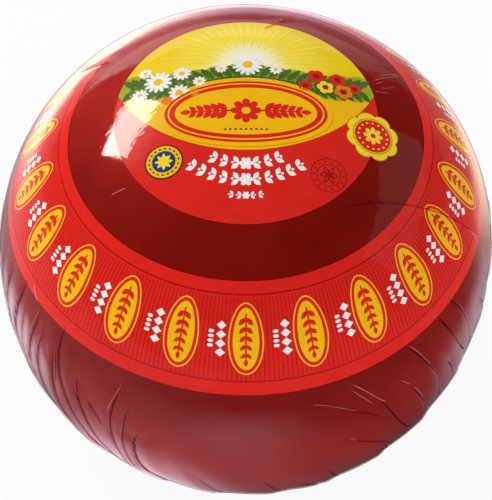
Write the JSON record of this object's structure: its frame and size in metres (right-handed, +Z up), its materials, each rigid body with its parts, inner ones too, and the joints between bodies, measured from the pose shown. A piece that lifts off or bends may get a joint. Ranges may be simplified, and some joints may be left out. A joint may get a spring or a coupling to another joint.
{
  "type": "wrapped ball of cheese",
  "caption": "Flattened ball of semi-hard cheese in a dark red wax coat, wrapped tight in one sheet of clear printed film.",
  "frame": {"origin": "middle of the flat spot that the ball rests on, at the bottom centre of its box", "axes": "+Z up through the crown; +Y towards the back, so that the print on the crown stands upright when seen from -Y"},
  "size_m": [0.1524, 0.1518, 0.1324],
  "materials": {
    "film_over_wax": "dark red wax under glossy clear film",
    "wax_coat": "dark red cheese wax, semi-gloss, slightly clouded",
    "clear_film": "thin clear wrapping film, glossy, creased",
    "red_print": "flat red ink on the inside of the film",
    "yellow_print": "flat golden yellow ink on the inside of the film",
    "white_print": "flat white ink on the inside of the film",
    "green_print": "flat leaf green ink on the inside of the film",
    "blue_print": "flat deep blue ink on the inside of the film",
    "dark_print": "flat dark red ink on the inside of the film"
  },
  "bodies": {
    "root": {"wrapped_cheese_ball": "film_over_wax"}
  },
  "joints": []
}
